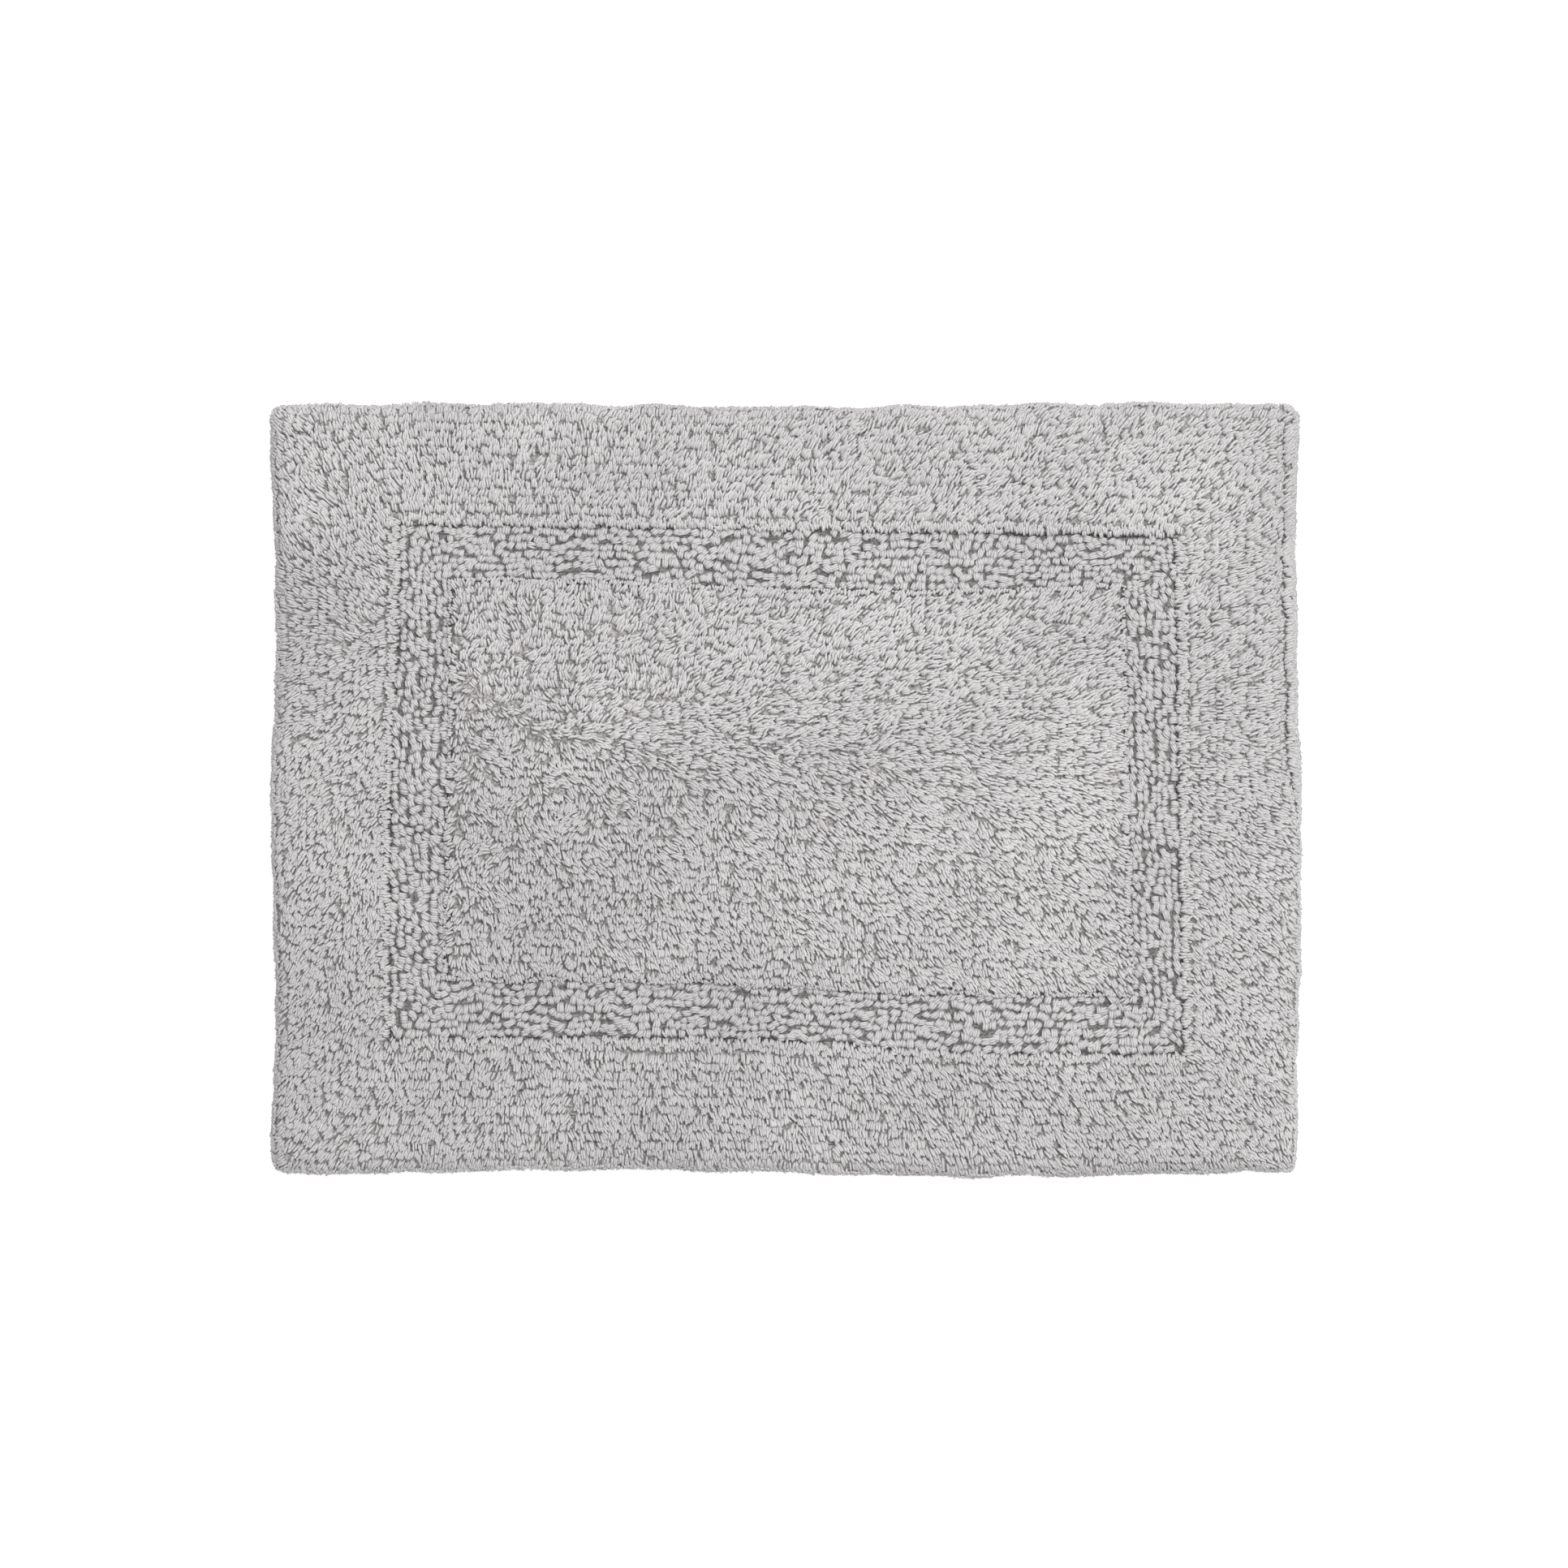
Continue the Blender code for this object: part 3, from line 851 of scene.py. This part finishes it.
# ---------------------------------------------------------------------------------------------
# Frame of loop pile, on both sides. Seven rows of uncut loops of thick, soft-twisted yarn, a
# few millimetres lower than the cut pile. Each loop is three plies, or two thicker ones on the
# reverse, that arch over the row at a slant, so a row looks like a loose rope.
# ---------------------------------------------------------------------------------------------
LOOP_SPACING = {"face": 4.1 * MM, "reverse": 5.4 * MM}
PLY_RADIUS = {"face": 0.86 * MM, "reverse": 1.1 * MM}
PLIES_IN_A_LOOP = {"face": 3, "reverse": 2}
PLY_GIRTHS = np.array([0.7, 1.0, 1.08, 1.08, 1.0, 0.7])
# Painted shade along each ply: full at both ends, where it dives into the row, none over the top of
# the arch.
PLY_SHADE_DEPTHS = np.array([1, 0.4, 0, 0, 0.4, 1])
LOOP_SLANT = np.radians(56)
LOOP_SPAN = 5.5 * MM
ARCH_HEIGHT = 2.376 * MM
LOOP_BOW = 0.6 * MM
LOOP_JITTER = 0.45 * MM
LOOP_SWAY = 1.3 * MM
LOOP_SWAY_LENGTH = 16 * MM
LOOP_TOP_DROP = 0.7 * MM
LOOP_BED_DEPTH = 2.7 * MM
LOOP_BED_GAP = 0.02 * MM
ARCH_TURNS = np.radians([-100, -60, -22, 22, 60, 90, 106])
# Loop colours. The root colour is painted shade at the ends of each ply and on the bed under the
# loops, where shade falls between them. The groove value is painted shade between the plies.
LOOP_PILE_ROOT_SHADE = (0.15, 0.144, 0.142, 1)
LOOP_PILE_TIP = (0.458, 0.445, 0.446, 1)
LOOP_PILE_GROOVE_SHADE = 0.20


def loop_arches(x, y, row_turn, top, side, random):
    """Loops centred at x, y. Each ply is a three-sided prism, flat side up, carried over an
    arch: at turn a its centre is sin a half spans along the loop, bows cos a to the side and
    sinks (1 - cos a) arch heights. The plies lie side by side across the loop and come
    closer to each other towards its ends."""
    plies = PLIES_IN_A_LOOP[side]
    shape = (len(x), plies)
    slant = LOOP_SLANT + 0.55 * waves(x, y, 0.04, 31) + random.normal(0, 0.42, len(x))
    heading = (row_turn + slant)[:, None] + random.normal(0, 0.12, shape)
    rank = np.arange(plies) - (plies - 1) / 2
    across = rank * PLY_RADIUS[side] * 1.5 + random.normal(0, 0.10 * MM, shape)
    half_span = LOOP_SPAN / 2 * random.uniform(0.82, 1.28, (len(x), 1))
    half_span = half_span * random.uniform(0.9, 1.08, shape)
    height = top + random.normal(0, 0.5 * MM, (len(x), 1)) + random.normal(0, 0.12 * MM, shape)
    height = height - 0.35 * MM * rank ** 2
    bow = LOOP_BOW + random.normal(0, 0.35 * MM, (len(x), 1)) + random.normal(0, 0.12 * MM, shape)
    forward = np.stack([np.cos(heading), np.sin(heading)], -1)[:, :, None]
    sideways = np.stack([-np.sin(heading), np.cos(heading)], -1)[:, :, None]
    sin_turn, cos_turn = np.sin(ARCH_TURNS), np.cos(ARCH_TURNS)
    along = half_span[..., None] * sin_turn
    aside = across[..., None] * (0.55 + 0.45 * cos_turn) + bow[..., None] * cos_turn
    flat = np.stack([x, y], -1)[:, None, None]
    flat = flat + along[..., None] * forward + aside[..., None] * sideways
    lift = height[..., None] - ARCH_HEIGHT * (1 - cos_turn)
    centre = np.concatenate([flat, lift[..., None]], -1)
    section = np.radians([150, 30, 270])
    level = np.cos(section)[:, None] * sideways[:, :, :, None]
    tilt = (sin_turn[:-1, None] * np.sin(section))[..., None] * forward[:, :, :, None]
    upward = (cos_turn[:-1, None] * np.sin(section))[..., None]
    upward = np.broadcast_to(upward, shape + upward.shape)
    ring = np.concatenate([level + tilt, upward], -1)
    girth = PLY_RADIUS[side] * random.uniform(0.9, 1.1, shape)[..., None, None, None]
    rings = centre[:, :, :-1, None] + girth * PLY_GIRTHS[:, None, None] * ring
    count = len(x) * plies
    depth = np.broadcast_to(PLY_SHADE_DEPTHS, (count, len(PLY_SHADE_DEPTHS)))
    return prism_shape(rings.reshape(count, -1, 3, 3), centre[:, :, -1].reshape(count, 3), depth,
                       random.normal(0, 1, count))


loop_pile_finish = yarn_finish("cotton_loop_pile_yarn", LOOP_PILE_ROOT_SHADE, LOOP_PILE_TIP,
                               LOOP_PILE_GROOVE_SHADE)
loop_rows = [f"loop_row_{row}" for row in range(1, 8)]
loop_edges = [inset_of(f"face_{row}") for row in loop_rows] + [frame_high.x - field_corner.x]
for side in SIDES:
    for row, node in enumerate(loop_rows):
        random = np.random.default_rng(200 + row + 10 * SIDES[side])
        outer, inner = loop_edges[row], loop_edges[row + 1]
        low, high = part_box(f"{side}_{node}")
        height = abs((high.z if side == "face" else low.z) - cloth_level[side])
        x, y, turn = along_rows([(outer + inner) / 2], LOOP_SPACING[side], random)
        x = x + random.normal(0, LOOP_JITTER, len(x))
        y = y + random.normal(0, LOOP_JITTER, len(y))
        sway = LOOP_SWAY * waves(x, y, LOOP_SWAY_LENGTH, 33 + row)
        sway = sway + random.normal(0, 0.4 * MM, len(x))
        x, y = x - sway * np.sin(turn), y + sway * np.cos(turn)
        top = height - LOOP_TOP_DROP + 0.35 * MM * waves(x, y, 0.03, 32)
        arches = loop_arches(x, y, turn, top[:, None], side, random)
        insets = np.linspace(outer + LOOP_BED_GAP, inner - LOOP_BED_GAP, 4)
        bed_x, bed_y = round_the_mat(insets, BED_STEPS)
        loop_bed_top = height - LOOP_BED_DEPTH + random.normal(0, 0.25 * MM, bed_x.shape)
        bed = bed_shape(bed_x, bed_y, loop_bed_top, np.zeros_like(bed_x), ring=True)
        mesh = pile_mesh(f"{side}_{node}", [arches, bed], side, cloth_level[side])
        place(f"{side}_loops_{row + 1}", mesh, loop_pile_finish, f"{side}_{node}")

# ---------------------------------------------------------------------------------------------
# Centre field of cut pile, on both sides. It is tufted in straight lengthwise rows with the same
# yarn as the border and sheared to the same height. Its outer tufts lean out over the loops.
# ---------------------------------------------------------------------------------------------
FIELD_OVERHANG = 0.6 * MM
FIELD_CORNER_RADIUS = 4 * MM
FIELD_BED_INSET = 0.3 * MM
FIELD_BED_POINTS = (80, 11)
ROWS_IN_A_PANEL = 10
ROW_WANDER = 0.9 * MM

panels = [f"centre_pile_{panel}" for panel in range(1, 6)]
panel_edges = [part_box(f"face_{panel}")[1].y for panel in panels]
panel_edges.append(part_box(f"face_{panels[-1]}")[0].y)
for side in SIDES:
    for panel, node in enumerate(panels):
        random = np.random.default_rng(300 + panel + 10 * SIDES[side])
        top_y, bottom_y = panel_edges[panel], panel_edges[panel + 1]
        in_a_row = round(2 * field_corner.x / TUFT_SPACING[side])
        up = (np.arange(ROWS_IN_A_PANEL) + 0.5) / ROWS_IN_A_PANEL
        row_y = bottom_y + (top_y - bottom_y) * up
        shift = random.uniform(0, 1, (ROWS_IN_A_PANEL, 1))
        shift = shift + random.uniform(-0.28, 0.28, (1, in_a_row))
        shift = shift + random.uniform(-0.15, 0.15, (ROWS_IN_A_PANEL, in_a_row))
        x = field_corner.x * (2 * ((np.arange(in_a_row) + shift) % in_a_row) / in_a_row - 1)
        y = row_y[:, None] + random.normal(0, ROW_WANDER, x.shape)
        plot = (field_corner.x + FIELD_OVERHANG, field_corner.y + FIELD_OVERHANG,
                FIELD_CORNER_RADIUS)
        ends = yarn_ends(x.ravel(), y.ravel(), side, plot, random)
        bed_end = field_corner.x - FIELD_BED_INSET
        bed_x, bed_y = np.meshgrid(np.linspace(-bed_end, bed_end, FIELD_BED_POINTS[0]),
                                   np.linspace(bottom_y, top_y, FIELD_BED_POINTS[1]),
                                   indexing="ij")
        top = bed_top(bed_x, bed_y, side)
        bed = bed_shape(bed_x, bed_y, top, np.zeros_like(bed_x), ring=False)
        mesh = pile_mesh(f"{side}_{node}", [ends, bed], side, cloth_level[side])
        place(f"{side}_field_tufts_{panel + 1}", mesh, cut_pile_finish, f"{side}_{node}")

# ---------------------------------------------------------------------------------------------
# Floor and light. A plain white floor, a white surround and one wide soft light overhead.
# ---------------------------------------------------------------------------------------------
FLOOR_HALF = 3.0
FLOOR_DROP = 0.1 * MM
FLOOR_GLOW = 0.35
SOFTBOX_SIZE = 1.6
SOFTBOX_POWER = 68
SURROUND_GLOW = 0.55

floor_corners = np.array([[-1, -1, 0], [1, -1, 0], [1, 1, 0], [-1, 1, 0]]) * FLOOR_HALF
floor_corners[:, 2] = frame_low.z - FLOOR_DROP
floor_mesh = mesh_of("studio_floor", floor_corners, np.array([[0, 1, 2, 3]]))
floor = bpy.data.objects.new("studio_floor", floor_mesh)
bpy.context.scene.collection.objects.link(floor)
floor_material, floor_shader = new_material("white_floor", 0.9)
floor_shader.inputs["Base Color"].default_value = (0.9, 0.9, 0.9, 1)
floor_shader.inputs["Emission Color"].default_value = (1, 1, 1, 1)
floor_shader.inputs["Emission Strength"].default_value = FLOOR_GLOW
floor_mesh.materials.append(floor_material)
floor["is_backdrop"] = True

softbox_data = bpy.data.lights.new("softbox", "AREA")
softbox_data.shape = "SQUARE"
softbox_data.size = SOFTBOX_SIZE
softbox_data.energy = SOFTBOX_POWER
softbox = bpy.data.objects.new("softbox", softbox_data)
softbox.location = (0.45, 0.45, 2.2)
softbox.rotation_euler = (-0.2, 0.2, 0)
bpy.context.scene.collection.objects.link(softbox)

world = bpy.data.worlds.new("white_surround")
world.use_nodes = True
world.node_tree.nodes["Background"].inputs["Color"].default_value = (1, 1, 1, 1)
world.node_tree.nodes["Background"].inputs["Strength"].default_value = SURROUND_GLOW
bpy.context.scene.world = world
bpy.context.scene.view_settings.view_transform = "Standard"

low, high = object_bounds()
